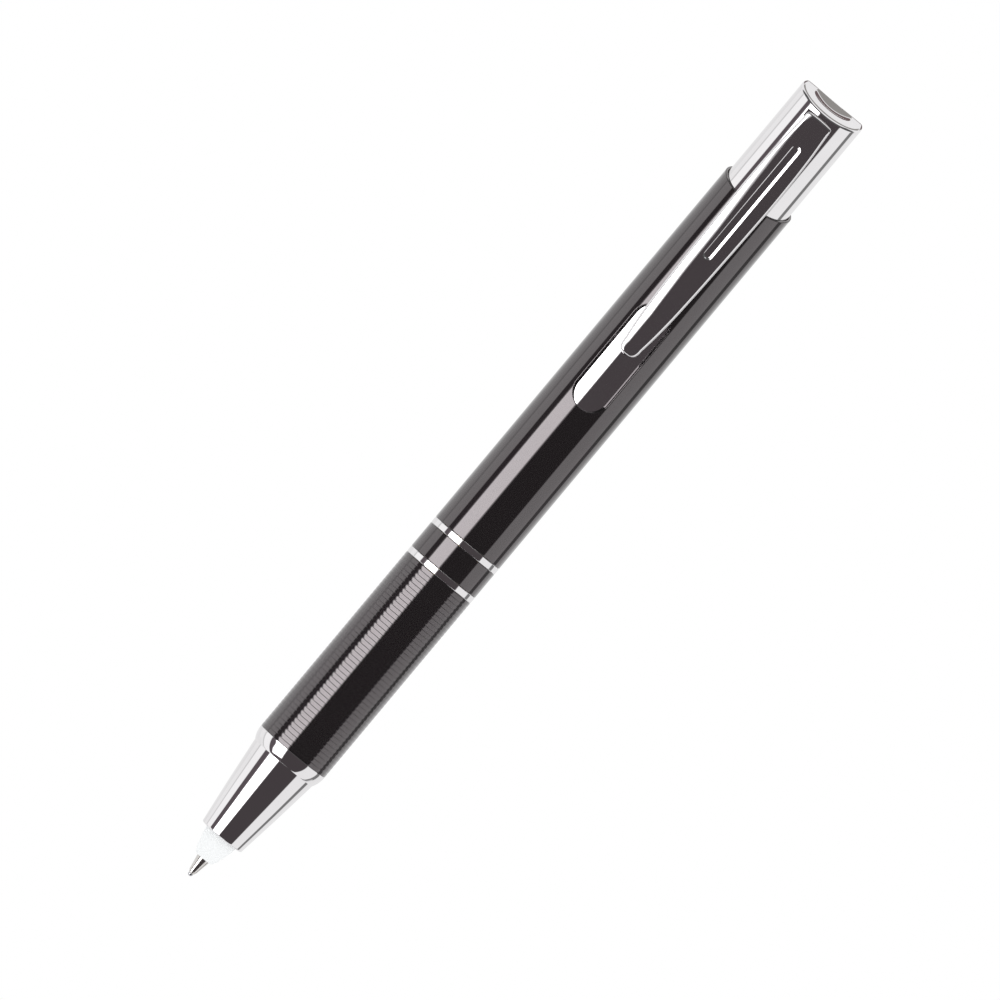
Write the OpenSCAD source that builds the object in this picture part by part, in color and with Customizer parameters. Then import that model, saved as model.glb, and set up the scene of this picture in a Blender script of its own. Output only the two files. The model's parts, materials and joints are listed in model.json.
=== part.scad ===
// Retractable metal ballpoint with a light-up tip.
// +Z runs up the pen from the writing ball at the origin; the clip faces -Y.

/* [Barrel] */
// Outside diameter of the barrel
barrel_d = 11.2; // [10.8:0.1:12]
// Height of the joint between the nose cone and the ribbed grip
grip_bottom = 22; // [21:0.5:24]
// Length of the ribbed grip
grip_len = 30.8; // [28:0.2:34]
// Number of ribs turned on the grip
rib_count = 46; // [20:1:60]
// Depth of the grooves between the ribs
rib_depth = 0.04; // [0.02:0.01:0.1]
// Height of each chrome trim ring
ring_h = 1.02; // [0.8:0.02:1.5]
// Height of the plain band between the trim rings
band_h = 4.08; // [3:0.02:6]
// Height on the axis of the slanted end of the upper barrel
barrel_end = 120.55; // [116:0.05:122]
// Slant of the barrel's end and of the cap's thumb face, in degrees
end_slant = 21; // [10:1:25]

/* [Window] */
// Lowest point of the window below the clip
window_bottom = 82.7; // [82:0.1:84]
// Length of the window
window_len = 17.5; // [16:0.5:19]
// Width of the window
window_w = 5.4; // [4:0.1:6]

/* [Nose] */
// Length of bare refill in front of the light tip
tip_reach = 3.05; // [2.5:0.05:3.2]
// Length of the light tip in front of the nose cone
light_len = 3.82; // [3:0.02:4.5]
// Diameter of the light tip where it enters the nose cone
light_d = 5.1; // [4.6:0.1:5.4]
// Diameter of the nose cone at its front end
nose_d = 6.76; // [6.5:0.02:7.2]
// Diameter of the nose cone at the crease below its collar
crease_d = 10.1; // [9.8:0.1:10.4]
// Length of the collar between the crease and the grip
collar_h = 2; // [1.5:0.1:2.5]

/* [Plunger] */
// Outside diameter of the cap and of the sleeve below it
cap_d = 10.3; // [10:0.05:10.35]
// Height of the flat top of the cap
cap_top = 136.9; // [134:0.1:138]
// Height on the axis of the slanted thumb face
thumb_face = 136.37; // [133.5:0.01:137]
// Diameter of the thumb dish
dish_d = 6.1; // [4:0.1:7]
// Depth of the thumb dish
dish_depth = 0.6; // [0.3:0.1:1]
// Radius of the rounded edge round the top of the cap
cap_edge = 0.8; // [0.4:0.1:1]

/* [Clip] */
// Height of the top edge of the clip
clip_top = 133.4; // [132:0.1:134]
// Height of the lower end of the clip
clip_bottom = 92.1; // [92:0.1:94]
// Widest part of the clip
clip_w = 5.2; // [4.5:0.1:5.6]
// Thickness of the clip
clip_t = 0.8; // [0.6:0.05:1]
// Gap between the clip and the barrel at the clip's root
clip_gap = 0.7; // [0.5:0.1:1]
// Width of the groove pressed into the clip's face
groove_w = 1.5; // [1:0.1:2]
// Depth of the groove
groove_depth = 0.3; // [0.1:0.05:0.4]

/* [Refill] */
// Diameter of the writing ball
ball_d = 0.7; // [0.5:0.1:0.8]
// Outside diameter of the ink tube
tube_d = 3; // [2.8:0.1:3.2]
// Diameter of the metal point behind its cone
point_d = 2.3; // [2.2:0.05:2.4]
// Turns of the return spring
spring_turns = 9; // [6:1:12]

/* [Power] */
// Diameter of a button cell
cell_d = 7.9; // [7.9:0.1:7.9]
// Height of a button cell
cell_h = 3.6; // [3.4:0.1:3.6]
// Outside diameter of the cell holder and the indexing rotor
holder_d = 8.7; // [8.6:0.05:8.7]

/* [Hidden] */
$fn = 96;

// Clearance of a running fit, and the gap left between faces that part
run_gap = 0.05;
seat_gap = 0.02;
// Overshoot that makes cutting tools pass through a face
over = 1;
big = 40;

barrel_r = barrel_d / 2;
cap_r = cap_d / 2;
bore_r = cap_r + run_gap;

// Heights of the joints up the barrel
grip_top = grip_bottom + grip_len;
ring1_top = grip_top + ring_h;
band_top = ring1_top + band_h;
ring2_top = band_top + ring_h;
ring_r = barrel_r - 0.05;

// Screwed joint between the grip and the connector
thread_r = 4.7;
thread_len = 7.3;
thread_bottom = grip_top - thread_len;
spigot_len = 6;
grip_bore_r = 4.2;

// Connector and the cam tube that stands in it
connector_top = 70;
connector_bore_r = 3.8;
cam_seat = 62;
cam_r = 4.8;
cam_bore_r = holder_d / 2 + run_gap;
cam_top = 108;
rib_bottom = 97.1;
rib_top = 107;
fin_count = 4;
cam_rib_w = 2;
cam_rib_r = 3.9;

// Nose cone and what it holds
light_bottom = tip_reach;
nose_bottom = light_bottom + light_len;
crease = grip_bottom - collar_h;
light_r = light_d / 2;
light_seat = 11;
light_top = 12.2;
light_flange_r = 3.2;
mouth_r = 1.2;
mouth_len = 0.85;
light_bore_r = 1.3;
board_bottom = 13;
board_h = 0.8;
board_top = board_bottom + board_h;
board_bore_r = 1.35;
contact_h = 0.4;
spring_bottom = board_top + contact_h;
nose_bore_top = 15;
nose_wall_r = 3.9;

// Refill
ball_r = ball_d / 2;
point_r = point_d / 2;
tube_r = tube_d / 2;
ink_r = 1;
point_step = 3.8;
tube_bottom = 15.6;
point_stem = 18.6;
ink_top = 56;
tube_top = 66;
plug_stem = 2;
plug_top = 70;
collar_bottom = 27.8;
collar_top = 29;
refill_collar_r = 2.7;

// Springs
return_r = 2.4;
return_wire_r = 0.175;
cell_spring_r = 2.8;
cell_spring_wire_r = 0.2;
cell_spring_turns = 3;
wire_sides = 8;
turn_steps = 20;

// Cell holder, cells and rotor
holder_bottom = 71;
holder_floor = 73.5;
cell_bottom = 74;
cell_stack = cell_bottom + 3 * cell_h;
holder_top = 88;
stud_r = 1;
stud_head_r = 2;
flange_top = 89.5;
rotor_r = 3.4;
rotor_top = 97;
fin_bottom = 92;
fin_w = 1.6;

// Plunger
sleeve_bottom = 75;
sleeve_top = 111;
neck_top = 115;
sleeve_bore_r = cam_r + run_gap;
neck_bore_r = sleeve_bore_r - 0.25;
cap_ceiling = 133.5;
pusher_bottom = rotor_top + run_gap;
pusher_head = 126;
pusher_bore_r = 2.2;
dish_r = (pow(dish_d / 2, 2) + pow(dish_depth, 2)) / (2 * dish_depth);

// Clip: the bent end that enters the cap's slot, and the foot that rests on the sleeve
clip_neck_w = clip_w * 0.8;
clip_in = 4.4;
bend_r = 0.6;
slot_gap = 0.2;
clip_inner = barrel_r + clip_gap;
clip_bow = 0.75;
foot_z = 93.9;
foot_r = 2.2;
groove_bottom = 109.2;
groove_top = 128.8;

// A straight tube between two heights
module tube(outer, inner, low, high)
{
    translate([0, 0, low])
        difference()
        {
            cylinder(h = high - low, r = outer);
            translate([0, 0, -over])
                cylinder(h = high - low + 2 * over, r = inner);
        }
}

// A solid rod between two heights
module rod(r, low, high)
{
    translate([0, 0, low])
        cylinder(h = high - low, r = r);
}

// Everything above the slanted plane that meets the axis at the height z
module above_slant(z)
{
    translate([0, 0, z])
        rotate([end_slant, 0, 0])
            translate([-big / 2, -big / 2, 0])
                cube(big);
}

// Upright ribs round the axis, from the radius inner to the radius outer
module ribs(inner, outer, w, low, high, turn)
{
    for (i = [0 : fin_count - 1])
        rotate([0, 0, turn + i * 360 / fin_count])
            translate([inner, -w / 2, low])
                cube([outer - inner, w, high - low]);
}

// Trim ring with a slight crown and rounded edges
module trim_ring(low, inner)
{
    crown = 0.02;
    edge = 0.2;
    arc = crown + edge * (1 - cos(45));
    high = low + ring_h;
    rotate_extrude()
        polygon([
            [inner, low],
            [ring_r - edge, low],
            [ring_r - arc, low + arc],
            [ring_r - crown, low + edge],
            [ring_r, low + ring_h / 2],
            [ring_r - crown, high - edge],
            [ring_r - arc, high - arc],
            [ring_r - edge, high],
            [inner, high]
        ]);
}

// Points of a coil spring's wire: the ring at step i, then the point at side j
function coil_point(mean, wire, low, rise, i, j) =
    let (turn = 360 * i / turn_steps, side = 360 * j / wire_sides)
    [
        (mean + wire * cos(side)) * cos(turn),
        (mean + wire * cos(side)) * sin(turn),
        low + rise * i / turn_steps + wire * sin(side)
    ];

// Coil spring between two heights
module coil(mean, wire, low, high, turns)
{
    steps = turns * turn_steps;
    rise = (high - low - 2 * wire) / turns;
    points = [
        for (i = [0 : steps], j = [0 : wire_sides - 1])
            coil_point(mean, wire, low + wire, rise, i, j)
    ];
    sides = [
        for (i = [0 : steps - 1], j = [0 : wire_sides - 1])
            let (k = (j + 1) % wire_sides)
            [
                i * wire_sides + j,
                (i + 1) * wire_sides + j,
                (i + 1) * wire_sides + k,
                i * wire_sides + k
            ]
    ];
    first = [for (j = [0 : wire_sides - 1]) j];
    last = [for (j = [0 : wire_sides - 1]) steps * wire_sides + wire_sides - 1 - j];
    polyhedron(points = points, faces = concat(sides, [first, last]));
}

// Lacquered tube with the window and the slanted end
module upper_barrel()
{
    color("#231f20")
        difference()
        {
            tube(barrel_r, bore_r, ring2_top, barrel_end + barrel_r);
            above_slant(barrel_end);
            translate([0, 0, window_bottom])
                rotate([90, 0, 0])
                    linear_extrude(big)
                    {
                        translate([0, window_w / 2])
                            circle(d = window_w);
                        translate([0, window_len - window_w / 2])
                            circle(d = window_w);
                        translate([-window_w / 2, window_w / 2])
                            square([window_w, window_len - window_w]);
                    }
        }
}

module upper_ring()
{
    color("#e8e6e8")
        trim_ring(band_top, thread_r);
}

module centre_band()
{
    color("#231f20")
        tube(barrel_r, thread_r, ring1_top, band_top);
}

// Insert that carries the band and the upper barrel and screws into the grip
module connector()
{
    color("#b08d57")
        difference()
        {
            union()
            {
                rod(thread_r, thread_bottom, ring2_top);
                rod(bore_r, ring2_top, connector_top);
            }
            rod(connector_bore_r, thread_bottom - over, cam_seat + over);
            rod(cam_r, cam_seat, connector_top + over);
        }
}

// Fixed guide of the click mechanism, with ribs that the rotor's fins run between
module cam_tube()
{
    color("#e9e4d8")
    {
        tube(cam_r, cam_bore_r, cam_seat, cam_top);
        intersection()
        {
            ribs(cam_rib_r, cam_r, cam_rib_w, rib_bottom, rib_top, 0);
            rod(cam_r - run_gap, rib_bottom - over, rib_top + over);
        }
    }
}

module lower_ring()
{
    color("#e8e6e8")
        intersection()
        {
            trim_ring(grip_top, thread_r + run_gap);
            rod(barrel_r, grip_top + seat_gap, ring1_top - seat_gap);
        }
}

// Ribbed grip, screwed on the connector above and pressed on the nose cone below
module grip_tube()
{
    pitch = grip_len / rib_count;
    flank = 0.2;
    outline = [
        for (i = [0 : rib_count - 1])
            each [
                [barrel_r - rib_depth, grip_bottom + pitch * i],
                [barrel_r, grip_bottom + pitch * (i + flank)],
                [barrel_r, grip_bottom + pitch * (i + 1 - flank)]
            ]
    ];
    color("#231f20")
        difference()
        {
            rotate_extrude()
                polygon(concat(
                    [[grip_bore_r, grip_bottom]],
                    outline,
                    [[barrel_r - rib_depth, grip_top], [grip_bore_r, grip_top]]
                ));
            rod(thread_r, grip_bottom - over, grip_bottom + spigot_len);
            rod(thread_r + run_gap, thread_bottom - over, grip_top + over);
        }
}

// Chrome cone with a flared collar and a spigot that goes into the grip
module nose_cone()
{
    drop = barrel_r - crease_d / 2;
    arc_r = (pow(collar_h, 2) + pow(drop, 2)) / (2 * drop);
    arc_steps = 8;
    rim = 0.25;
    color("#e8e6e8")
        rotate_extrude()
            polygon(concat(
                [
                    [light_r, nose_bottom],
                    [nose_d / 2 - rim, nose_bottom],
                    [nose_d / 2, nose_bottom + rim],
                    [crease_d / 2, crease]
                ],
                [
                    for (i = [1 : arc_steps])
                        let (z = collar_h * i / arc_steps)
                        [
                            barrel_r - arc_r + sqrt(pow(arc_r, 2) - pow(collar_h - z, 2)),
                            crease + z - seat_gap * i / arc_steps
                        ]
                ],
                [
                    [thread_r, grip_bottom - seat_gap],
                    [thread_r, grip_bottom + spigot_len],
                    [nose_wall_r, grip_bottom + spigot_len],
                    [nose_wall_r, nose_bore_top],
                    [light_flange_r, nose_bore_top],
                    [light_flange_r, light_seat],
                    [light_r, light_seat]
                ]
            ));
}

// Translucent diffuser that the refill passes through
module light_tip()
{
    rim_r = 1.3;
    shoulder = [1.78, 0.68];
    waist = [2.34, 2.72];
    color("#eef6ff")
        rotate_extrude()
            polygon([
                [mouth_r, light_bottom],
                [rim_r, light_bottom],
                [(rim_r + shoulder.x) / 2 + 0.03, light_bottom + shoulder.y * 0.4],
                [shoulder.x, light_bottom + shoulder.y],
                [waist.x, light_bottom + waist.y],
                [light_r, nose_bottom],
                [light_r, light_seat],
                [light_flange_r, light_seat],
                [light_flange_r, light_top],
                [light_bore_r, light_top],
                [light_bore_r, light_bottom + mouth_len],
                [mouth_r, light_bottom + mouth_len]
            ]);
}

module led_board()
{
    color("#1f6b3a")
        tube(light_flange_r, board_bore_r, board_bottom, board_top);
}

// Three chips on the front of the board
module led_chips()
{
    chip = [1.6, 0.9, board_bottom - light_top - seat_gap];
    count = 3;
    ring = 2.3;
    color("#fff7c0")
        for (i = [0 : count - 1])
            rotate([0, 0, i * 360 / count])
                translate([-chip.x / 2, ring - chip.y / 2, board_bottom - chip.z])
                    cube(chip);
}

module spring_contact()
{
    color("#c9a24b")
        tube(light_flange_r, board_bore_r, board_top, spring_bottom);
}

module return_spring()
{
    color("#b9bcc0")
        coil(return_r, return_wire_r, spring_bottom + seat_gap, collar_bottom - seat_gap,
             spring_turns);
}

module writing_ball()
{
    color("#c8c8cc")
        translate([0, 0, ball_r])
            sphere(ball_r);
}

// Turned metal point: cone, body, and the stem that holds the ink tube
module refill_point()
{
    lip_z = 0.45;
    lip_r = 0.42;
    cone_r = 1;
    color("#cfcfd2")
        difference()
        {
            rotate_extrude()
                polygon([
                    [0, lip_z],
                    [lip_r, lip_z],
                    [cone_r, tip_reach],
                    [point_r, point_step],
                    [point_r, tube_bottom],
                    [ink_r, tube_bottom],
                    [ink_r, point_stem],
                    [0, point_stem]
                ]);
            translate([0, 0, ball_r])
                sphere(ball_r + seat_gap / 2);
        }
}

// Ink tube with the collar that the return spring pushes on
module ink_tube()
{
    color("#c8a24a")
        difference()
        {
            union()
            {
                rod(tube_r, tube_bottom, tube_top);
                rod(refill_collar_r, collar_bottom, collar_top);
            }
            rod(ink_r, tube_bottom - over, tube_top + over);
        }
}

module ink_column()
{
    color("#101a4a")
        rod(ink_r, point_stem, ink_top);
}

module refill_plug()
{
    color("#d8d8d8")
    {
        rod(tube_r, tube_top, plug_top);
        rod(ink_r, tube_top - plug_stem, tube_top);
    }
}

// Cup that carries the button cells
module cell_holder()
{
    color("#2c2c30")
        difference()
        {
            rod(holder_d / 2, holder_bottom, holder_top);
            rod(cell_d / 2 + run_gap, holder_floor, holder_top + over);
            rod(stud_r, holder_bottom - over, holder_floor + over);
        }
}

// One button cell: a can, with the raised pole of the other sign on top
module cell(i)
{
    can_h = cell_h * 0.8;
    pole_r = cell_d / 2 - 0.7;
    low = cell_bottom + i * cell_h;
    color("#d5d5d8")
    {
        rod(cell_d / 2, low, low + can_h);
        rod(pole_r, low + can_h, low + cell_h);
    }
}

module cell_1()
{
    cell(0);
}

module cell_2()
{
    cell(1);
}

module cell_3()
{
    cell(2);
}

// Stud that joins the refill's end to the lowest cell
module cell_stud()
{
    color("#c9a24b")
    {
        rod(stud_r, plug_top, holder_floor);
        rod(stud_head_r, holder_floor, cell_bottom);
    }
}

module cell_spring()
{
    color("#b9bcc0")
        coil(cell_spring_r, cell_spring_wire_r, cell_stack + seat_gap,
             holder_top - seat_gap, cell_spring_turns);
}

// Indexing rotor, with fins that run in the grooves of the cam tube
module rotor()
{
    color("#3c5f9e")
    {
        rod(holder_d / 2, holder_top, flange_top);
        rod(rotor_r, flange_top, rotor_top);
        intersection()
        {
            ribs(rotor_r - over, holder_d / 2 + over, fin_w, fin_bottom, rotor_top,
                 180 / fin_count);
            tube(holder_d / 2, rotor_r, fin_bottom - over, rotor_top + over);
        }
    }
}

// Cap with a rounded edge, a slanted thumb face with a dish, and the clip's slot
module push_cap()
{
    color("#e8e6e8")
        difference()
        {
            rotate_extrude()
            {
                difference()
                {
                    translate([0, sleeve_top])
                        square([cap_r, cap_top - sleeve_top]);
                    translate([cap_r - cap_edge, cap_top - cap_edge])
                        square(cap_edge + over);
                }
                translate([cap_r - cap_edge, cap_top - cap_edge])
                    intersection()
                    {
                        circle(cap_edge);
                        square(cap_edge);
                    }
            }
            above_slant(thumb_face);
            translate([0, 0, thumb_face])
                rotate([end_slant, 0, 0])
                    translate([0, 0, dish_r - dish_depth])
                        sphere(dish_r);
            rod(sleeve_bore_r, sleeve_top - over, cap_ceiling);
            translate([-clip_neck_w / 2 - slot_gap, -barrel_r, clip_top - clip_t - slot_gap])
                cube([clip_neck_w + 2 * slot_gap, barrel_r - clip_in + slot_gap,
                      clip_t + 2 * slot_gap]);
        }
}

// Thin chromed tube behind the window, with a neck that goes into the cap
module plunger_sleeve()
{
    color("#e8e6e8")
    {
        tube(cap_r, sleeve_bore_r, sleeve_bottom, sleeve_top);
        tube(sleeve_bore_r, neck_bore_r, sleeve_top - seat_gap, neck_top);
    }
}

// Stem that carries the thumb's push from the cap to the rotor
module pusher()
{
    flat_y = 4.1;
    color("#e9e4d8")
        difference()
        {
            union()
            {
                rod(rotor_r, pusher_bottom, cap_ceiling);
                rod(sleeve_bore_r - seat_gap, pusher_head, cap_ceiling);
            }
            rod(pusher_bore_r, pusher_bottom - over, pusher_head);
            translate([-big / 2, -big - flat_y, pusher_head - over])
                cube([big, big, cap_ceiling - pusher_head + 2 * over]);
        }
}

// Half of the clip's front outline, from its lower end to its top
function clip_half() = [
    [0, clip_bottom],
    [clip_w * 0.14, clip_bottom + 0.2],
    [clip_w * 0.23, clip_bottom + 0.8],
    [clip_w * 0.28, clip_bottom + 1.8],
    [clip_w * 0.37, 98.5],
    [clip_w * 0.42, 103.5],
    [clip_w * 0.45, 110],
    [clip_w * 0.49, 117],
    [clip_w * 0.5, 120],
    [clip_w * 0.49, 123],
    [clip_w * 0.43, 129.5],
    [clip_neck_w / 2, clip_top]
];

// Distance of the clip's inner face from the axis at the height z
function clip_y(z) =
    clip_inner + clip_bow * sin(180 * (z - clip_bottom) / (clip_top - clip_bottom));

// Spring clip: bowed strip, its end bent over into the cap, and foot on the sleeve
module clip()
{
    steps = 16;
    arc_steps = 4;
    half = clip_half();
    count = len(half);
    other = [for (i = [count - 1 : -1 : 0]) [-half[i].x, half[i].y]];
    inner_rise = (clip_top - clip_t - clip_bottom) / steps;
    inner = [
        for (i = [0 : steps])
            let (z = clip_bottom + inner_rise * i)
            [-clip_y(z), z]
    ];
    bend_z = clip_top - bend_r;
    bend_y = clip_y(bend_z) + clip_t - bend_r;
    bend = [
        for (i = [0 : arc_steps])
            let (a = 90 - 90 * i / arc_steps)
            [-bend_y - bend_r * cos(a), bend_z + bend_r * sin(a)]
    ];
    outer_rise = (bend_z - clip_bottom) / steps;
    outer = [
        for (i = [steps - 1 : -1 : 0])
            let (z = clip_bottom + outer_rise * i)
            [-clip_y(z) - clip_t, z]
    ];
    tongue = [[-clip_in, clip_top - clip_t], [-clip_in, clip_top]];
    color("#e8e6e8")
    {
        difference()
        {
            intersection()
            {
                rotate([90, 0, 0])
                    linear_extrude(big)
                        polygon(concat(half, other));
                translate([-big / 2, 0, 0])
                    rotate([90, 0, 90])
                        linear_extrude(big)
                            polygon(concat(inner, tongue, bend, outer));
            }
            translate([0, -clip_y((groove_bottom + groove_top) / 2) - clip_t + groove_depth, 0])
                rotate([90, 0, 0])
                    linear_extrude(over)
                    {
                        translate([0, groove_bottom + groove_w / 2])
                            circle(d = groove_w);
                        translate([0, groove_top - groove_w / 2])
                            circle(d = groove_w);
                        translate([-groove_w / 2, groove_bottom + groove_w / 2])
                            square([groove_w, groove_top - groove_bottom - groove_w]);
                    }
        }
        intersection()
        {
            translate([0, -cap_r - run_gap - foot_r, foot_z])
                sphere(foot_r);
            translate([-big / 2, -clip_inner - clip_t / 2, clip_bottom])
                cube([big, clip_inner, big]);
        }
    }
}

upper_barrel();
upper_ring();
centre_band();
connector();
cam_tube();
lower_ring();
grip_tube();
nose_cone();
light_tip();
led_board();
led_chips();
spring_contact();
return_spring();
writing_ball();
refill_point();
ink_tube();
ink_column();
refill_plug();
cell_holder();
cell_1();
cell_2();
cell_3();
cell_stud();
cell_spring();
rotor();
push_cap();
plunger_sleeve();
pusher();
clip();
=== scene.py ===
"""Looks of the light-tip ballpoint pen: detailed visible pieces, materials, studio and camera."""

import json
import math

import bmesh
import bpy
import numpy as np
from mathutils import Matrix, Vector


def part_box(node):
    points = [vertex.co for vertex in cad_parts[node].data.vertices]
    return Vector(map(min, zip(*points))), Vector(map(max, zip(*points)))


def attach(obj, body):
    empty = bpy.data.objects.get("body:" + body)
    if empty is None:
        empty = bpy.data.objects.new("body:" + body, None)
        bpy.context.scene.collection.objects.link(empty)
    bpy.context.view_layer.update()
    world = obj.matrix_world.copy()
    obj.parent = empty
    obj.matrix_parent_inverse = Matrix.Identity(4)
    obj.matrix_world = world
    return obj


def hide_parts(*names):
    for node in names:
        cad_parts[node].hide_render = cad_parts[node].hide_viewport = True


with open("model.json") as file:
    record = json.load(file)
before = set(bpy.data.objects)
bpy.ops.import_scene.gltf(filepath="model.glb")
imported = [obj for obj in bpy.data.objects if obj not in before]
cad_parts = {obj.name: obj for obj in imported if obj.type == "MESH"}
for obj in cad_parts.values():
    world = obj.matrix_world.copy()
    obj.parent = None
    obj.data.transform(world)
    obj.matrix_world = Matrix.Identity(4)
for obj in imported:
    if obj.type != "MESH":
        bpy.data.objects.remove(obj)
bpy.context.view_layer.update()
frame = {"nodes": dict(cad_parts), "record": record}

MM = 0.001


# ---------------------------------------------------------------- sizes, in mm, from the frame

def span(node):
    """Lowest and highest corner of a CAD node, in millimetres."""
    low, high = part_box(node)
    return low / MM, high / MM


def bottom(node):
    """Height of a CAD node's lowest point."""
    return span(node)[0].z


def top(node):
    """Height of a CAD node's highest point."""
    return span(node)[1].z


def radius(node):
    """Largest radius of a round CAD node on the axis."""
    return span(node)[1].x


# The barrel's lip and the cap's top share one slant. SLIT is the gap left beside each trim ring.
SLANT_ANGLE = math.radians(21)
SLANT = math.tan(SLANT_ANGLE)
SLIT = 0.01

BARREL_R = radius("centre_band")
BARREL_END = top("upper_barrel") - BARREL_R * SLANT
CAP_R = radius("push_cap")
BORE_R = CAP_R + 0.05
TUBE_R = 4.7

# Height of the thumb face on the axis, and its dish
THUMB_FACE = top("push_cap") - 0.53
DISH_R, DISH_DEPTH = 3.05, 0.6

LIGHT_BOTTOM = bottom("light_tip")
LIGHT_R = 2.55
NOSE_BOTTOM = bottom("nose_cone")
NOSE_R = 3.38
COLLAR_TOP = bottom("grip_tube")
CREASE = COLLAR_TOP - 2.0
CREASE_R = 5.05
RIBS = 46

# Lowest point, highest point and width of the window
WINDOW = (82.7, 100.2, 5.4)

# The clip: roundness of its lower tip, half width at each height, and crown of its face at each height
TIP_R = 0.5
CLIP_OUTLINE = [
    (93.8, 1.50), (95.5, 1.72), (98.5, 2.00), (103.5, 2.24), (110.0, 2.42), (117.0, 2.56),
    (120.0, 2.6), (123.0, 2.57), (126.5, 2.48), (129.5, 2.32), (131.5, 2.16), (133.4, 2.02),
]
CLIP_CROWN = [
    (92, 0.12), (94, 0.2), (98.5, 0.34), (106, 0.3), (113, 0.31), (120, 0.265),
    (124, 0.235), (128, 0.19), (131.7, 0.155), (132.9, 0.19),
]


# ---------------------------------------------------------------- mesh helpers

def shade(mesh):
    """Smooth shading, with sharp edges where faces meet at more than 40 degrees."""
    mesh.shade_smooth()
    mesh.set_sharp_from_angle(angle=math.radians(40))


def make_object(name, verts, faces):
    """A smooth-shaded mesh object from points in millimetres."""
    mesh = bpy.data.meshes.new(name)
    mesh.from_pydata([(x * MM, y * MM, z * MM) for x, y, z in verts], [], faces)
    mesh.validate()
    shade(mesh)
    obj = bpy.data.objects.new(name, mesh)
    bpy.context.scene.collection.objects.link(obj)
    return obj


def rounded(outline):
    """Rounds the corners of an outline of (r, z, fillet) points, with holding points beside each arc."""
    steps, hold = 5, 0.105
    points = []
    last = len(outline) - 1
    for i, (r, z, fillet) in enumerate(outline):
        here = np.array((r, z), float)
        if i in (0, last) or fillet == 0:
            points.append(here)
            continue
        a = np.array(outline[i - 1][:2], float) - here
        b = np.array(outline[i + 1][:2], float) - here
        la, lb = np.linalg.norm(a), np.linalg.norm(b)
        a, b = a / la, b / lb
        half = math.acos(max(-1, min(1, float(a @ b)))) / 2
        reach = min(fillet / math.tan(half), 0.45 * la, 0.45 * lb)
        rad = reach * math.tan(half)
        middle = here + (a + b) / np.linalg.norm(a + b) * rad / math.sin(half)
        start, end = here + a * reach, here + b * reach
        points.append(start + a * reach * hold)
        va, vb = start - middle, end - middle
        turn = math.pi - 2 * half
        for k in range(steps + 1):
            t = k / steps
            points.append(middle + (math.sin((1 - t) * turn) * va + math.sin(t * turn) * vb) / math.sin(turn))
        points.append(end + b * reach * hold)
    return points


def lathe(name, outline, segments, closed=True):
    """Turns an outline round the axis.

    A closed outline makes a ring-shaped solid; an open one has its ends on the axis.
    """
    points = rounded(outline)
    if closed and np.allclose(points[0], points[-1]):
        points = points[:-1]
    verts, rows = [], []
    for r, z in points:
        if r < 1e-6:
            rows.append([len(verts)] * segments)
            verts.append((0, 0, z))
            continue
        rows.append(list(range(len(verts), len(verts) + segments)))
        for k in range(segments):
            a = 2 * math.pi * k / segments
            verts.append((r * math.cos(a), r * math.sin(a), z))
    pairs = list(zip(rows, rows[1:]))
    if closed:
        pairs.append((rows[-1], rows[0]))
    faces = []
    for one, two in pairs:
        for k in range(segments):
            n = (k + 1) % segments
            face = list(dict.fromkeys([one[k], one[n], two[n], two[k]]))
            if len(face) > 2:
                faces.append(face)
    obj = make_object(name, verts, faces)
    outward(obj)
    return obj


def outward(obj):
    """Turns every face to look out of the solid."""
    bm = bmesh.new()
    bm.from_mesh(obj.data)
    bmesh.ops.recalc_face_normals(bm, faces=bm.faces)
    bm.to_mesh(obj.data)
    bm.free()


def grid_solid(name, rows):
    """A closed tube from rings of points: the first and last ring are capped by a fan to their middle."""
    verts = [p for row in rows for p in row]
    n = len(rows[0])
    faces = []
    for i in range(len(rows) - 1):
        for k in range(n):
            j = (k + 1) % n
            faces.append((i * n + k, i * n + j, (i + 1) * n + j, (i + 1) * n + k))
    for ring, row in ((0, rows[0]), (len(rows) - 1, rows[-1])):
        middle = len(verts)
        verts.append(tuple(np.mean(np.array(row), axis=0)))
        for k in range(n):
            faces.append((ring * n + k, ring * n + (k + 1) % n, middle))
    obj = make_object(name, verts, faces)
    outward(obj)
    return obj


def piece(obj, body, material, slot, *nodes):
    """Puts a finished piece on its body, in its material, in place of its CAD nodes."""
    obj.data.materials.clear()
    obj.data.materials.append(material)
    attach(obj, body)
    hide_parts(*nodes)
    return obj


# ---------------------------------------------------------------- materials

def new_material(name, **values):
    """A material with its constant values set on the shader's own sockets."""
    mat = bpy.data.materials.new(name)
    mat.use_nodes = True
    shader = mat.node_tree.nodes["Principled BSDF"]
    for key, value in values.items():
        shader.inputs[key.replace("_", " ")].default_value = value
    return mat, mat.node_tree, shader


def noise(tree, scale, detail=4.0, rough=0.5, stretch=(1, 1, 1)):
    """Noise in object space, where scale counts features per metre."""
    place = tree.nodes.new("ShaderNodeTexCoord")
    mapping = tree.nodes.new("ShaderNodeMapping")
    mapping.inputs["Scale"].default_value = stretch
    tree.links.new(place.outputs["Object"], mapping.inputs["Vector"])
    tex = tree.nodes.new("ShaderNodeTexNoise")
    tex.inputs["Scale"].default_value = scale
    tex.inputs["Detail"].default_value = detail
    tex.inputs["Roughness"].default_value = rough
    tree.links.new(mapping.outputs["Vector"], tex.inputs["Vector"])
    return tex.outputs["Fac"]


def remap(tree, value, low, high, start=0.3, end=0.7):
    """Spreads a noise value over a range."""
    node = tree.nodes.new("ShaderNodeMapRange")
    node.inputs["From Min"].default_value = start
    node.inputs["From Max"].default_value = end
    node.inputs["To Min"].default_value = low
    node.inputs["To Max"].default_value = high
    tree.links.new(value, node.inputs["Value"])
    return node.outputs["Result"]


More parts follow.
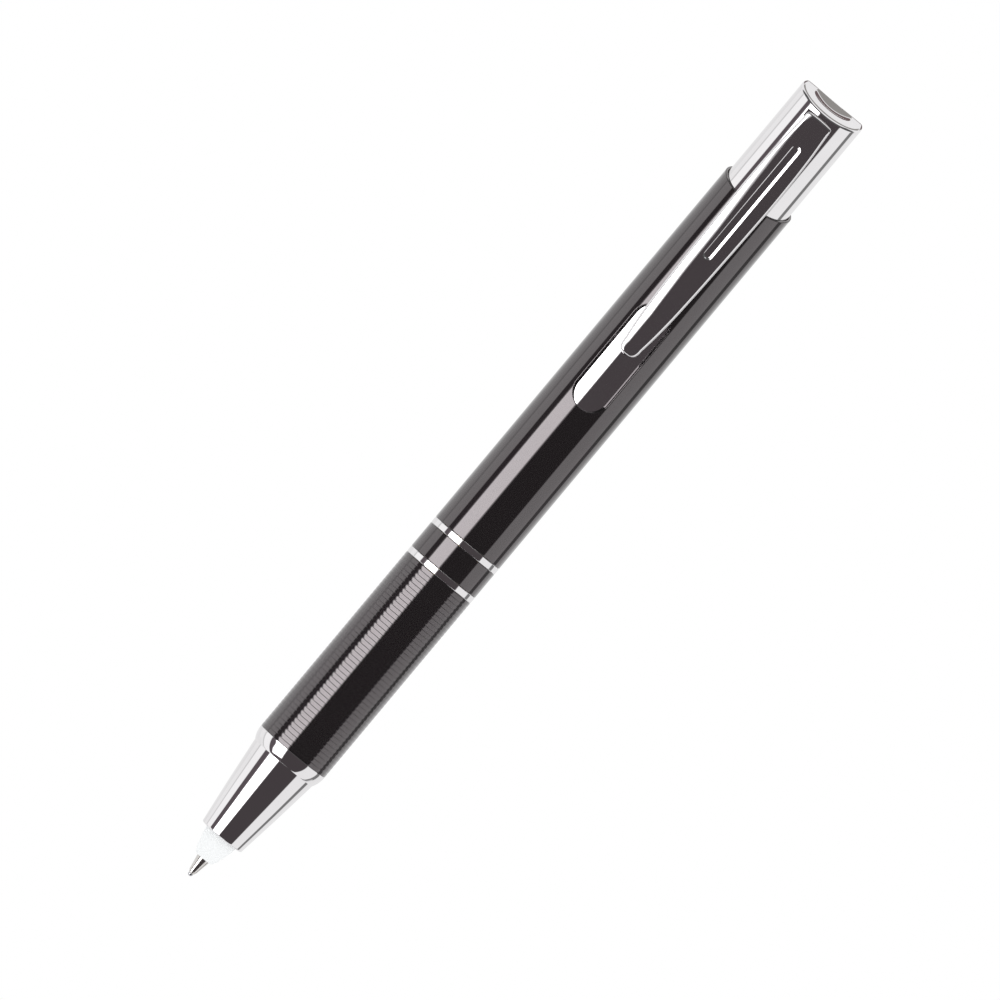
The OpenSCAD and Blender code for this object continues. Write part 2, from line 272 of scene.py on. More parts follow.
def ramp(tree, value, stops):
    """Colours along a value."""
    node = tree.nodes.new("ShaderNodeValToRGB")
    while len(node.color_ramp.elements) < len(stops):
        node.color_ramp.elements.new(1.0)
    for element, (at, colour) in zip(node.color_ramp.elements, stops):
        element.position = at
        element.color = (*colour, 1)
    tree.links.new(value, node.inputs["Fac"])
    return node.outputs["Color"]


def bump(tree, shader, value, distance):
    """Fine relief on a surface; the distance is in metres."""
    node = tree.nodes.new("ShaderNodeBump")
    node.inputs["Distance"].default_value = distance
    node.inputs["Strength"].default_value = 1.0
    tree.links.new(value, node.inputs["Height"])
    tree.links.new(node.outputs["Normal"], shader.inputs["Normal"])


def metal(name, dark, light, rough, scale, bump_mm=0.0, stretch=(1, 1, 1)):
    """A metal whose colour and roughness vary finely between two values."""
    spread = 0.35
    mat, tree, shader = new_material(name, Metallic=1.0)
    fine = noise(tree, scale, 6, 0.6, stretch)
    wide = noise(tree, scale / 12, 3)
    colour = ramp(tree, wide, [(0.35, dark), (0.65, light)])
    tree.links.new(colour, shader.inputs["Base Color"])
    tree.links.new(remap(tree, fine, rough * (1 - spread), rough * (1 + spread)), shader.inputs["Roughness"])
    if bump_mm:
        bump(tree, shader, fine, bump_mm * MM)
    return mat


def chrome():
    """Bright plate with a faint polish haze."""
    return metal("chrome", (0.77, 0.755, 0.765), (0.81, 0.80, 0.808), 0.045, 900)


def lacquer():
    """Dark metallic lacquer: fine flake under a clear coat."""
    mat, tree, shader = new_material("gunmetal_lacquer", Metallic=0.93, Coat_Weight=0.35, Coat_Roughness=0.03)
    flake = tree.nodes.new("ShaderNodeTexVoronoi")
    flake.inputs["Scale"].default_value = 14000
    place = tree.nodes.new("ShaderNodeTexCoord")
    tree.links.new(place.outputs["Object"], flake.inputs["Vector"])
    flake_light, flake_dark = (0.128, 0.117, 0.120), (0.092, 0.084, 0.087)
    colour = ramp(tree, flake.outputs["Distance"], [(0.0, flake_light), (1.0, flake_dark)])
    tree.links.new(colour, shader.inputs["Base Color"])
    tree.links.new(remap(tree, noise(tree, 2500, 5), 0.045, 0.075), shader.inputs["Roughness"])
    return mat


def diffuser():
    """Frosted plastic, faintly lit from inside."""
    mat, tree, shader = new_material(
        "light_diffuser", IOR=1.49, Specular_IOR_Level=0.04, Emission_Strength=0.06)
    shader.inputs["Emission Color"].default_value = (0.94, 0.98, 1.0, 1)
    fine = noise(tree, 1500, 3)
    colour = ramp(tree, fine, [(0.35, (0.905, 0.92, 0.925)), (0.65, (0.92, 0.935, 0.94))])
    tree.links.new(colour, shader.inputs["Base Color"])
    tree.links.new(remap(tree, fine, 0.5, 0.6), shader.inputs["Roughness"])
    return mat


def plastic(name, dark, light, rough=0.4):
    """Moulded plastic with a fine mould texture."""
    mat, tree, shader = new_material(name)
    fine = noise(tree, 1500, 6, 0.6)
    tree.links.new(ramp(tree, fine, [(0.3, dark), (0.7, light)]), shader.inputs["Base Color"])
    tree.links.new(remap(tree, fine, rough * 0.8, rough * 1.2), shader.inputs["Roughness"])
    bump(tree, shader, fine, 0.01 * MM)
    return mat


CHROME = chrome()
MATERIALS = {
    "gunmetal_lacquer": lacquer(),
    "chrome": CHROME,
    "clip_chrome": CHROME,
    "light_diffuser": diffuser(),
    "refill_metal": metal(
        "refill_metal", (0.62, 0.60, 0.58), (0.70, 0.68, 0.66), 0.16, 3000, 0.002, (0.2, 0.2, 4)),
    "carbide": metal("carbide", (0.42, 0.42, 0.44), (0.5, 0.5, 0.52), 0.1, 6000),
    "brass": metal("brass", (0.62, 0.44, 0.18), (0.74, 0.56, 0.27), 0.22, 1500, 0.003),
    "spring_steel": metal("spring_steel", (0.45, 0.45, 0.47), (0.6, 0.6, 0.62), 0.25, 4000, 0.002),
    "board_green": plastic("board_green", (0.02, 0.16, 0.06), (0.04, 0.26, 0.10), 0.35),
    "led_lens": plastic("led_lens", (0.85, 0.72, 0.25), (0.95, 0.86, 0.4), 0.2),
    "ink": plastic("ink", (0.01, 0.015, 0.12), (0.02, 0.03, 0.2), 0.15),
    "plug_plastic": plastic("plug_plastic", (0.66, 0.66, 0.66), (0.78, 0.78, 0.78)),
    "holder_plastic": plastic("holder_plastic", (0.02, 0.02, 0.022), (0.045, 0.045, 0.05)),
    "cell_steel": metal("cell_steel", (0.55, 0.55, 0.57), (0.68, 0.68, 0.7), 0.2, 2500, 0.003),
    "cam_plastic": plastic("cam_plastic", (0.72, 0.69, 0.6), (0.82, 0.79, 0.71)),
    "rotor_plastic": plastic("rotor_plastic", (0.03, 0.08, 0.28), (0.06, 0.14, 0.4)),
}


# ---------------------------------------------------------------- visible pieces

def grip():
    """Grip turned with shallow round-bottomed grooves."""
    low, high = bottom("grip_tube"), top("grip_tube")
    pitch = (high - low) / RIBS
    depth, half = 0.031, 0.22 * pitch
    bore, mouth, mouth_bottom = 4.25, 4.75, high - 1.5
    outline = [(bore, low), (BARREL_R - depth, low)]
    for i in range(RIBS + 1):
        for t in np.linspace(-1, 1, 9):
            z = low + i * pitch + t * half
            if low < z < high:
                outline.append((BARREL_R - depth * (0.5 + 0.5 * math.cos(math.pi * t)), z))
        if i < RIBS:
            outline.append((BARREL_R, low + (i + 0.5) * pitch))
    outline += [(BARREL_R - depth, high), (mouth, high), (mouth, mouth_bottom), (bore, mouth_bottom)]
    return lathe("grip", [(r, z, 0) for r, z in outline], segments=144)


def nose():
    """Chrome cone, crease, flared collar, and the hollow behind the light tip."""
    collar_h = COLLAR_TOP - CREASE
    drop = BARREL_R - CREASE_R
    arc_r = (collar_h ** 2 + drop ** 2) / (2 * drop)
    mouth, wall_r, seam = LIGHT_R + 0.01, TUBE_R - 0.1, 0.02
    outline = [
        (mouth, NOSE_BOTTOM + 1.5, 0),
        (mouth, NOSE_BOTTOM, 0.08),
        (NOSE_R, NOSE_BOTTOM, 0.24),
        ((NOSE_R + CREASE_R) / 2 + 0.05, (NOSE_BOTTOM + CREASE) / 2, 30),
        (CREASE_R, CREASE, 0.05),
    ]
    steps = 20
    for i in range(1, steps + 1):
        rise = collar_h * i / steps
        r = BARREL_R - arc_r + math.sqrt(arc_r ** 2 - (collar_h - rise) ** 2)
        lip = 0.03 if i == steps else 0
        outline.append((r - lip, CREASE + rise - seam, 0))
    outline += [(wall_r, COLLAR_TOP - seam, 0), (wall_r, COLLAR_TOP - 2, 0)]
    return lathe("nose", outline, segments=256)


def ring(name, inner, below, above):
    """Trim ring with round edges that fills its place between two nodes."""
    low, high = top(below) + SLIT, bottom(above) - SLIT
    edge = 0.12
    return lathe(name, [
        (inner, low, 0), (BARREL_R, low, edge), (BARREL_R, high, edge), (inner, high, 0), (inner, low, 0),
    ], segments=192)


def band():
    """Plain band between the trim rings."""
    low, high = bottom("centre_band"), top("centre_band")
    inner, edge = TUBE_R + 0.1, 0.07
    return lathe("band", [
        (inner, low, 0), (BARREL_R, low, edge), (BARREL_R, high, edge), (inner, high, 0), (inner, low, 0),
    ], segments=192)


def light():
    """Diffuser with a chamfered front and a slightly bowed side."""
    end = top("light_tip")
    hole, bore, bore_bottom = 1.2, 1.3, LIGHT_BOTTOM + 0.85
    flange, flange_bottom = 3.2, end - 1.2
    return lathe("light", [
        (hole, LIGHT_BOTTOM, 0.05), (1.32, LIGHT_BOTTOM, 0.06), (1.78, LIGHT_BOTTOM + 0.68, 0.8),
        (2.34, LIGHT_BOTTOM + 2.72, 6), (LIGHT_R, NOSE_BOTTOM, 1.0),
        (LIGHT_R, flange_bottom, 0), (flange, flange_bottom, 0), (flange, end, 0),
        (bore, end, 0), (bore, bore_bottom, 0), (hole, bore_bottom, 0),
        (hole, LIGHT_BOTTOM, 0),
    ], segments=160)


def point():
    """Turned refill point: cone, body and rolled lip round the ball."""
    low, high = bottom("refill_point"), top("refill_point")
    body, stem, stem_bottom = 1.15, 1.0, high - 3
    return lathe("point", [
        (0, low, 0), (0.34, low, 0.04), (0.46, low + 0.12, 0.06), (0.49, low + 0.28, 0.05),
        (0.56, low + 0.32, 0.05), (1.0, LIGHT_BOTTOM, 6), (body, 3.8, 0.4), (body, stem_bottom, 0),
        (stem, stem_bottom, 0), (stem, high, 0), (0, high, 0),
    ], segments=96, closed=False)


def ball():
    """Writing ball, which stands on the origin."""
    r = radius("writing_ball")
    steps = 24
    arc = [math.pi * i / steps for i in range(steps + 1)]
    outline = [(r * math.sin(a), r - r * math.cos(a), 0) for a in arc]
    return lathe("ball", outline, segments=64, closed=False)


def window_ring(grow, sides, arcs):
    """Points round the window, grown outwards, from the right side's foot and up: x and z in millimetres."""
    low, high, width = WINDOW
    half = width / 2
    r = half + grow
    straight = np.linspace(low + half, high - half, sides + 1)
    arc = np.linspace(0, math.pi, arcs + 1)[1:-1]
    ring = [(r, z) for z in straight]
    ring += [(r * math.cos(a), high - half + r * math.sin(a)) for a in arc]
    ring += [(-r, z) for z in straight[::-1]]
    ring += [(-r * math.cos(a), low + half - r * math.sin(a)) for a in arc]
    return ring


def window_frame(angle, margin, sides, arcs):
    """The rectangle round the window that meets the tube's grid.

    It gives the turn from the front and the height for each point of window_ring.
    """
    low, high, width = WINDOW
    half = width / 2
    straight = np.linspace(low + half, high - half, sides + 1)
    quarter = arcs // 4
    corner = np.linspace(0, half + margin, quarter + 1)[1:]
    across = np.linspace(angle, -angle, 2 * quarter + 1)[1:]
    over = [(angle, high - half + c) for c in corner]
    over += [(a, high + margin) for a in across]
    over += [(-angle, high - half + c) for c in corner[::-1][1:]]
    under = [(-a, low + half - (z - high + half)) for a, z in over]
    ring = [(angle, z) for z in straight] + over
    return ring + [(-angle, z) for z in straight[::-1]] + under


def barrel():
    """Lacquered tube with a slanted lip and the window, built as one grid with round edges."""
    sides, arcs = 24, 48
    # The frame round the window: its turn to either side of the front, and its margin above and below
    angle, margin = math.radians(42), 1.6
    # Roundness of the tube's ends and of the window's edge
    edge, rim = 0.1, 0.14
    low_end = bottom("upper_barrel")
    inner = BORE_R
    frame_ring = window_frame(angle, margin, sides, arcs)
    high = WINDOW[1] + margin
    front = sorted({round(a, 9) for a, z in frame_ring if z > high - 1e-6})
    rest = np.linspace(angle, 2 * math.pi - angle, 181)[1:-1]
    turns = front + list(rest)
    frame_rows = sorted({round(z, 6) for a, z in frame_ring if abs(abs(a) - angle) < 1e-9})
    quarter = [math.radians(22.5 * i) for i in range(5)]

    # The tube's outline, up the outside and down the bore: radius, what the height is measured from, height
    profile = [(BARREL_R - edge + edge * math.sin(a), "low", edge * (1 - math.cos(a))) for a in quarter]
    profile += [(BARREL_R, "low", 2), (BARREL_R, "low", 8), (BARREL_R, "low", 16)]
    outer_start = len(profile)
    profile += [(BARREL_R, "at", z) for z in frame_rows]
    outer_end = len(profile) - 1
    profile += [(BARREL_R, "at", high + 4), (BARREL_R, "end", -6), (BARREL_R, "end", -edge - 0.05)]
    profile += [(BARREL_R - edge + edge * math.cos(a), "end", -edge + edge * math.sin(a)) for a in quarter]
    profile += [(inner + edge - edge * math.sin(a), "end", -edge + edge * math.cos(a)) for a in quarter]
    profile += [(inner, "end", -6), (inner, "at", high + 4)]
    inner_start = len(profile)
    profile += [(inner, "at", z) for z in frame_rows[::-1]]
    inner_end = len(profile) - 1
    profile += [(inner, "low", 8), (inner, "low", 0)]

    def height(y, anchor, dz):
        return {"low": low_end + dz, "at": dz, "end": BARREL_END + y * SLANT + dz}[anchor]

    # The tube's grid, with a hole in the faces where the window's rings go
    verts, faces = [], []
    count, columns = len(profile), len(turns)
    for r, anchor, dz in profile:
        for a in turns:
            x, y = r * math.sin(a), -r * math.cos(a)
            verts.append((x, y, height(y, anchor, dz)))
    for i in range(count):
        in_rows = outer_start <= i < outer_end or inner_start <= i < inner_end
        for k in range(columns):
            if in_rows and k < len(front) - 1:
                continue
            j, m = (k + 1) % columns, (i + 1) % count
            faces.append((i * columns + k, i * columns + j, m * columns + j, m * columns + k))

    def on_tube(a, z, r):
        return (r * math.sin(a), -r * math.cos(a), z)

    def between(ring, r, share):
        """A ring part of the way from the window to the frame, on the tube of radius r."""
        return [on_tube(math.asin(x / r) * (1 - share) + a * share, z * (1 - share) + fz * share, r)
                for (x, z), (a, fz) in zip(ring, frame_ring)]

    outside = window_ring(rim, sides, arcs)
    rings = [between(outside, BARREL_R, s) for s in (1.0, 0.75, 0.5, 0.3, 0.15, 0.05, 0.0)]
    for a in quarter[1:]:
        r = BARREL_R - rim * (1 - math.cos(a))
        ring_points = window_ring(rim * (1 - math.sin(a)), sides, arcs)
        rings.append([on_tube(math.asin(x / r), z, r) for x, z in ring_points])
    wall = window_ring(0, sides, arcs)
    rings += [between(wall, inner, s) for s in (0.0, 0.3, 1.0)]
    start, n = len(verts), len(wall)
    for ring in rings:
        verts += ring
    for i in range(len(rings) - 1):
        here, ahead = start + i * n, start + (i + 1) * n
        for k in range(n):
            j = (k + 1) % n
            faces.append((here + k, here + j, ahead + j, ahead + k))

    obj = make_object("barrel_tube", verts, faces)
    bm = bmesh.new()
    bm.from_mesh(obj.data)
    bmesh.ops.remove_doubles(bm, verts=bm.verts, dist=0.002 * MM)
    bmesh.ops.recalc_face_normals(bm, faces=bm.faces)
    bm.to_mesh(obj.data)
    bm.free()
    shade(obj.data)
    keep_round(obj)
    return obj


def keep_round(obj):
    """Shades the outside of a tube as a true cylinder, whatever its faces' shapes."""
    mesh = obj.data
    normals = [(0, 0, 0)] * len(mesh.loops)
    for face in mesh.polygons:
        points = [mesh.vertices[i].co for i in face.vertices]
        if min(math.hypot(p.x, p.y) for p in points) < (BARREL_R - 0.004) * MM:
            continue
        for loop, p in zip(face.loop_indices, points):
            normals[loop] = Vector((p.x, p.y, 0)).normalized()
    mesh.normals_split_custom_set(normals)


def box_solid(name, low, high):
    """An upright box between two corners."""
    corners = [(low[0], low[1]), (high[0], low[1]), (high[0], high[1]), (low[0], high[1])]
    return grid_solid(name, [[(x, y, z) for x, y in corners] for z in (low[2], high[2])])


def cut(obj, cutter):
    """Takes the cutter's shape out of the object and removes the cutter."""
    mod = obj.modifiers.new("cut", "BOOLEAN")
    mod.operation = "DIFFERENCE"
    mod.solver = "EXACT"
    mod.object = cutter
    bpy.context.view_layer.update()
    evaluated = obj.evaluated_get(bpy.context.evaluated_depsgraph_get())
    mesh = bpy.data.meshes.new_from_object(evaluated)
    obj.modifiers.clear()
    old = obj.data
    obj.data = mesh
    bpy.data.meshes.remove(old)
    bpy.data.objects.remove(cutter)


def soft_min(a, b, k):
    """The lower of two heights, blended over about k."""
    h = np.clip(0.5 + 0.5 * (b - a) / k, 0, 1)
    return b * (1 - h) + a * h - k * h * (1 - h)


def cap_height(x, y):
    """Height of the cap's top: flat at the back, slanted to the front, with the thumb dish."""
    flat = top("push_cap")
    face = soft_min(THUMB_FACE + y * SLANT, np.full_like(x, flat), 0.08)
    ball_r = (DISH_R ** 2 + DISH_DEPTH ** 2) / (2 * DISH_DEPTH)
    centre = np.array((0, -math.sin(SLANT_ANGLE), math.cos(SLANT_ANGLE))) * (ball_r - DISH_DEPTH)
    inside = ball_r ** 2 - x ** 2 - (y - centre[1]) ** 2
    dish = THUMB_FACE + centre[2] - np.sqrt(np.maximum(inside, 0.01))
    return soft_min(face, dish, 0.07)


def cap():
    """Cap: straight wall, rounded rim that follows the slanted top, and the dish."""
    low = bottom("push_cap")
    edge = 0.42
    segments = 256
    angles = 2 * np.pi * np.arange(segments) / segments
    rows = []

    def row(r, dz=None, z=None):
        x, y = r * np.cos(angles), r * np.sin(angles)
        height = np.full_like(x, z) if z is not None else cap_height(x, y) + dz
        rows.append(np.stack([x, y, height], 1))

    rim = cap_height(CAP_R * np.cos(angles), CAP_R * np.sin(angles))
    inner, recess = 4.85, 0.6
    row(inner, z=low + recess)
    row(inner, z=low)
    row(CAP_R, z=low)
    for z in (low + 0.02, low + 7, low + 14, low + 20):
        row(CAP_R, z=z)
    steps = 10
    rim_rows = [(0, 0.25), (0, 0.04)] + [(i / steps, 0) for i in range(steps + 1)]
    for share, below in rim_rows:
        a = math.pi / 2 * share
        drop = edge * (1 - math.sin(a)) + below
        r = CAP_R - edge * (1 - math.cos(a))
        x, y = r * np.cos(angles), r * np.sin(angles)
        height = rim * (1 - share) + cap_height(x, y) * share - drop
        rows.append(np.stack([x, y, height], 1))
    for r in np.concatenate([np.linspace(CAP_R - edge - 0.02, DISH_R + 0.3, 12),
                             np.linspace(DISH_R + 0.25, DISH_R - 0.25, 18),
                             np.linspace(DISH_R - 0.3, 0.12, 30)]):
        row(r, dz=0)
    obj = grid_solid("cap", [[tuple(p) for p in r] for r in rows])
    slot_half, slot_end, slot_low, slot_high = 2.28, -4.2, top("clip") - 1.0, top("clip") + 0.2
    cut(obj, box_solid("slot_cutter", (-slot_half, -BARREL_R, slot_low), (slot_half, slot_end, slot_high)))
    shade(obj.data)
    return obj


def clip_half_width(z):
    """Half the clip's width at a height: a round tip, then a smooth curve through the outline."""
    zs, ws = np.array(CLIP_OUTLINE).T
    if z < zs[0]:
        rest = min(1.0, (zs[0] - z) / (zs[0] - bottom("clip")))
        return ws[0] * (1 - rest ** 2.6) ** (1 / 2.6)
    slopes = np.gradient(ws, zs)
    i = int(np.clip(np.searchsorted(zs, z) - 1, 0, len(zs) - 2))
    h = zs[i + 1] - zs[i]
    t = (z - zs[i]) / h
    return float(
        ws[i] * (1 + 2 * t) * (1 - t) ** 2 + ws[i + 1] * t * t * (3 - 2 * t)
        + slopes[i] * h * t * (1 - t) ** 2 + slopes[i + 1] * h * t * t * (t - 1)
    )


def smooth(t):
    """Smooth step from 0 to 1."""
    t = min(1.0, max(0.0, t))
    return t * t * (3 - 2 * t)


def groove(x, z):
    """Depth of the pressed groove at a place on the clip's face."""
    low, high, half, depth = 108.8, 128.7, 0.75, 0.17
    end = max(0.0, low + half - z, z - high + half)
    return depth * smooth((half - math.hypot(x, end)) / (0.40 + 0.06 * x / half))


def clip_section(half, crown, edge, z):
    """Half of one ring of the clip: x and depth below the crown's top, over the face from left to right."""
    core = min(1.0, 0.6 * (half - edge))
    inside = [core * t for t in np.linspace(-1, 1, 49)]
    side = [core + (half - edge - core) * t for t in np.linspace(0, 1, 13)[1:]]
    arc = [math.radians(a) for a in range(10, 91, 10)]
    flat = [-x for x in side[::-1]] + inside + side
    points = [(x, crown * (x / half) ** 2 + groove(x, z)) for x in flat]
    for sign in (-1, 1):
        round_edge = []
        for a in arc:
            x = half - edge + edge * math.sin(a)
            round_edge.append((sign * x, crown * (x / half) ** 2 + edge * (1 - math.cos(a))))
        points = round_edge[::-1] + points if sign < 0 else points + round_edge
    return points


def clip():
    """Pressed strip: crowned face, round edges, groove, foot on the sleeve, and the end bent into the cap."""
    low, high = bottom("clip"), top("clip")
    thick, bend, tongue = 0.8, 0.5, 4.4
    gap, bow = 0.7, 0.75
    foot_z, foot_long, foot_half = 93.9, 1.5, 1.15

    def inner_face(z):
        return BARREL_R + gap + bow * math.sin(math.pi * (z - low) / (high - low))

    def ring_at(half, crown, edge, z, outer, inner):
        """One closed ring, from a function for the face and one for the back."""
        face = clip_section(half, crown, edge, z)
        back = [(x, 0.06 * smooth((abs(x) / half - 0.9) / 0.1)) for x, _ in face[::-1]]
        return [outer(x, d) for x, d in face] + [inner(x, d) for x, d in back]

    rows = []
    for z in np.concatenate([
        low + 1.7 * (1 - np.cos(np.linspace(0.05, math.pi / 2, 26))),
        np.linspace(94.0, 108.5, 50), np.linspace(108.6, 109.8, 30), np.linspace(110.0, 127.5, 50),
        np.linspace(127.65, 128.85, 30), np.linspace(129.1, high - bend, 20),
    ]):
        half = max(clip_half_width(z), 0.02)
        edge = min(0.45, 0.45 * half) - 0.15 * smooth((z - 132.0) / 0.9)
        crown = float(np.interp(z, *np.array(CLIP_CROWN).T))
        face = inner_face(z)
        tip = 1 - math.sqrt(1 - max(0.0, 1 - (z - low) / TIP_R) ** 2)

        def outer(x, depth, z=z, face=face, tip=tip):
            return (x, -(face + thick - min(depth + TIP_R * tip, thick - 0.07)), z)

        def inner(x, depth, z=z, face=face):
            y = face + depth
            foot = max(0.0, 1 - ((z - foot_z) / foot_long) ** 2 - (x / foot_half) ** 2)
            return (x, -(y - (face - CAP_R - 0.06) * math.sqrt(foot)), z)

        rows.append(ring_at(half, crown, edge, z, outer, inner))

    face = inner_face(high - bend)
    half, crown, edge = CLIP_OUTLINE[-1][1], CLIP_CROWN[-1][1], 0.3
    for i in range(1, 11):
        a = math.pi / 2 * i / 10

        def outer(x, depth, a=a):
            r = bend - depth
            return (x, -(face + thick - bend + r * math.cos(a)), high - bend + r * math.sin(a))

        def inner(x, depth, i=i):
            return (x, -(face - 0.02 * i + depth), high - thick - 0.02 + 0.002 * i)

        rows.append(ring_at(half, crown, edge, high, outer, inner))
    for reach in np.linspace(face - 0.4, tongue, 6):
        rows.append(ring_at(
            half, crown, edge, high,
            lambda x, depth, reach=reach: (x, -reach, high - depth),
            lambda x, depth, reach=reach: (x, -reach, high - thick + depth),
        ))
    return grid_solid("clip_strip", rows)


pieces = [
    (grip(), "front", "gunmetal_lacquer", ["grip_tube"]),
    (nose(), "front", "chrome", ["nose_cone"]),
    (light(), "front", "light_diffuser", ["light_tip"]),
    (ring("ring_low", TUBE_R + 0.05, "grip_tube", "centre_band"), "front_ring", "chrome", ["lower_ring"]),
    (ring("ring_high", TUBE_R, "centre_band", "upper_barrel"), "barrel", "chrome", ["upper_ring"]),
    (band(), "barrel", "gunmetal_lacquer", ["centre_band"]),
    (point(), "core", "refill_metal", ["refill_point"]),
    (ball(), "core", "carbide", ["writing_ball"]),
    (barrel(), "barrel", "gunmetal_lacquer", ["upper_barrel"]),
    (cap(), "plunger", "chrome", ["push_cap"]),
    (clip(), "clip", "clip_chrome", ["clip"]),
]
for obj, body, slot, nodes in pieces:
    piece(obj, body, MATERIALS[slot], slot, *nodes)

replaced = {n for p in pieces for n in p[3]}
for part in frame["record"]["subparts"]:
    name = part["node"]
    if name in replaced:
        continue
    node = frame["nodes"][name]
    node.data.materials.clear()
    node.data.materials.append(MATERIALS[part["material_slot"]])


# ---------------------------------------------------------------- studio and camera

def math_node(tree, operation, *inputs):
    """A math node; each input is a socket or a number."""
    node = tree.nodes.new("ShaderNodeMath")
    node.operation = operation
    for slot_index, value in enumerate(inputs):
        if isinstance(value, (int, float)):
            node.inputs[slot_index].default_value = value
        else:
            tree.links.new(value, node.inputs[slot_index])
    return node.outputs[0]


def steps_ramp(tree, value, bands, low, high, blur):
    """Bands of grey or colour along an angle: each band is its start in degrees and its brightness."""
    colours = [tone if isinstance(tone, tuple) else (tone,) * 3 for _, tone in bands]
    soft = blur / (high - low)
    stops = [(0.0, colours[0])]
    for i in range(1, len(bands)):
        at = (bands[i][0] - low) / (high - low)
        stops += [(at - soft, colours[i - 1]), (at + soft, colours[i])]
    share = remap(tree, value, 0, 1, math.radians(low), math.radians(high))
    return ramp(tree, share, stops)


def blend_colours(tree, factor, one, two):
    """Goes from the first colour to the second as the factor goes from 0 to 1."""
    node = tree.nodes.new("ShaderNodeMix")
    node.data_type = "RGBA"
    tree.links.new(factor, node.inputs["Factor"])
    tree.links.new(one, node.inputs[6])
    tree.links.new(two, node.inputs[7])
    return node.outputs[2]


def combine_colours(tree, kind, one, two):
    """Adds or multiplies two colours."""
    node = tree.nodes.new("ShaderNodeVectorMath")
    node.operation = kind
    tree.links.new(one, node.inputs[0])
    tree.links.new(two, node.inputs[1])
    return node.outputs[0]


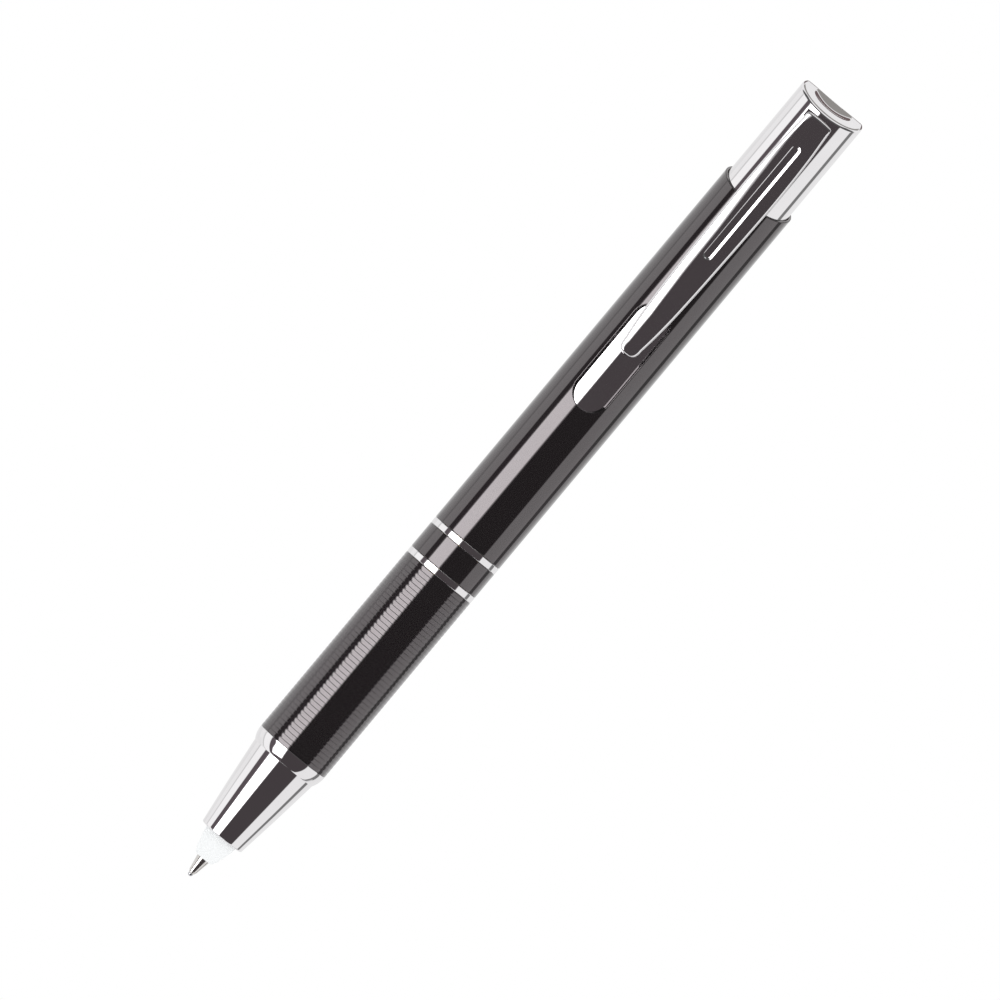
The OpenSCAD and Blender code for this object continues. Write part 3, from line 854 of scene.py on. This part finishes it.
def studio_world():
    """White studio. Shiny surfaces mirror a ring of upright cards round the pen, open above and below.

    Turns are in degrees from the front, positive to the right; rises are in degrees above the horizon.
    """
    world = bpy.data.worlds.new("studio")
    bpy.context.scene.world = world
    world.use_nodes = True
    tree = world.node_tree
    tree.nodes.clear()
    place = tree.nodes.new("ShaderNodeTexCoord")
    split = tree.nodes.new("ShaderNodeSeparateXYZ")
    tree.links.new(place.outputs["Generated"], split.inputs[0])
    x, y, z = split.outputs
    turn = math_node(tree, "ARCTAN2", x, math_node(tree, "MULTIPLY", y, -1.0))
    rise = math_node(tree, "ARCSINE", z)

    # The ring of cards, by turn: two dark ones at the front, white ones at the sides and behind
    cards = steps_ramp(tree, turn, [
        (-180, 0.92), (-129, 1.0), (-107, 0.75), (-101, 1.12), (-73, (0.12, 0.10, 0.11)),
        (-15, (0.070, 0.060, 0.064)), (61.6, 1.0), (106.8, 0.22), (121.8, 0.95), (153.6, 0.9),
    ], -180, 180, 1.2)
    # The bright softbox at the front left, whose left edge leans in below the horizon
    lean = remap(tree, turn, math.radians(-6), 0.0, math.radians(-60), math.radians(-12))
    lean_height = remap(tree, rise, 0, 1, math.radians(-35), math.radians(3))
    lean_share = ramp(tree, lean_height, [(0.0, (0, 0, 0)), (0.47, (1, 1, 1)), (1.0, (0, 0, 0))])
    leaning = math_node(tree, "ADD", turn, math_node(tree, "MULTIPLY", lean, lean_share))
    softbox_width = remap(tree, leaning, 0, 1, math.radians(-61), math.radians(-12.5))
    softbox = ramp(tree, softbox_width, [
        (0.0, (0, 0, 0)), (0.07, (0.12, 0.12, 0.12)), (0.12, (1, 1, 1)),
        (0.88, (1, 1, 1)), (0.95, (0.2, 0.2, 0.2)), (1.0, (0, 0, 0)),
    ])
    softbox_height = steps_ramp(tree, rise, [(-90, 0.0), (-47, 1.0), (20, 0.0)], -90, 90, 1.5)
    # How much of the ring shows at each rise, and what is above and below it: front, sides and behind
    front_weight = steps_ramp(tree, rise, [(-90, 0.0), (-72, 1.0), (18, 0.0)], -90, 90, 2.0)
    front_value = steps_ramp(tree, rise, [(-90, 1.0), (-72, 0.0), (18, 0.1), (62, 1.0)], -90, 90, 2.0)
    side_weight = steps_ramp(tree, rise, [(-90, 0.0), (-20, 1.0), (18, 0.0)], -90, 90, 2.0)
    side_value = steps_ramp(tree, rise, [(-90, 0.95), (-20, 0.0), (18, 1.0)], -90, 90, 2.0)
    back_value = steps_ramp(tree, rise, [
        (-90, 0.9), (-20, 0.0), (9, (0.16, 0.12, 0.12)), (36.6, 0.98), (40.4, (0.34, 0.33, 0.315)), (84, 0.6),
    ], -90, 90, 0.9)
    back_weight = steps_ramp(tree, rise, [(-90, 0.0), (-20, 1.0), (9, 0.0)], -90, 90, 1.2)
    away = math_node(tree, "ABSOLUTE", turn)
    aside = remap(tree, away, 0, 1, math.radians(112), math.radians(122))
    back_turn = math_node(tree, "ADD", away, math_node(tree, "MULTIPLY", rise, 0.6))
    behind = remap(tree, back_turn, 0, 1, math.radians(171), math.radians(176))

    def blend(factor, one, two):
        return blend_colours(tree, factor, one, two)

    def combine(kind, one, two):
        return combine_colours(tree, kind, one, two)

    lamp = tree.nodes.new("ShaderNodeVectorMath")
    lamp.operation = "SCALE"
    lamp.inputs["Scale"].default_value = 4.0
    tree.links.new(combine("MULTIPLY", softbox, softbox_height), lamp.inputs[0])
    weight = blend(behind, blend(aside, front_weight, side_weight), back_weight)
    ringed = combine("MULTIPLY", cards, weight)
    open_part = blend(behind, blend(aside, front_value, side_value), back_value)
    seen = combine("ADD", combine("ADD", ringed, open_part), lamp.outputs[0])

    mirrored = tree.nodes.new("ShaderNodeBackground")
    tree.links.new(seen, mirrored.inputs["Color"])
    plain = tree.nodes.new("ShaderNodeBackground")
    plain.inputs["Color"].default_value = (1, 1, 1, 1)
    plain.inputs["Strength"].default_value = 1.0
    path = tree.nodes.new("ShaderNodeLightPath")
    mix = tree.nodes.new("ShaderNodeMixShader")
    tree.links.new(path.outputs["Is Glossy Ray"], mix.inputs["Fac"])
    tree.links.new(plain.outputs[0], mix.inputs[1])
    tree.links.new(mirrored.outputs[0], mix.inputs[2])
    out = tree.nodes.new("ShaderNodeOutputWorld")
    tree.links.new(mix.outputs[0], out.inputs["Surface"])


def floor():
    """Pale floor, well below the pen."""
    mesh = bpy.data.meshes.new("floor")
    size, height, sides = 1.6, -0.2, 64
    angles = [2 * math.pi * k / sides for k in range(sides)]
    rim = [(size * math.cos(a), size * math.sin(a), height) for a in angles]
    mesh.from_pydata(rim, [], [list(range(sides))])
    obj = bpy.data.objects.new("floor", mesh)
    bpy.context.scene.collection.objects.link(obj)
    mat, _, shader = new_material("floor", Roughness=0.9)
    shader.inputs["Base Color"].default_value = (0.96, 0.96, 0.96, 1)
    mesh.materials.append(mat)
    obj.visible_glossy = False


def camera():
    """Long lens looking along +Y, rolled so that the pen leans as it does in the hand."""
    roll = math.radians(39.9)
    right = Vector((math.cos(roll), 0, math.sin(roll)))
    up = Vector((-math.sin(roll), 0, math.cos(roll)))
    back = Vector((0, -1, 0))
    data = bpy.data.cameras.new("camera")
    data.lens = 300
    data.sensor_width = 36
    # Width of the view at the pen's axis
    width = 0.13576
    distance = width * data.lens / data.sensor_width
    target = Vector((-0.00032, 0, 0.0662))
    obj = bpy.data.objects.new("camera", data)
    bpy.context.scene.collection.objects.link(obj)
    obj.matrix_world = Matrix((
        (right.x, up.x, back.x, target.x),
        (right.y, up.y, back.y, target.y - distance),
        (right.z, up.z, back.z, target.z),
        (0, 0, 0, 1),
    ))
    bpy.context.scene.camera = obj


studio_world()
floor()
camera()
bpy.context.scene.view_settings.view_transform = "Standard"
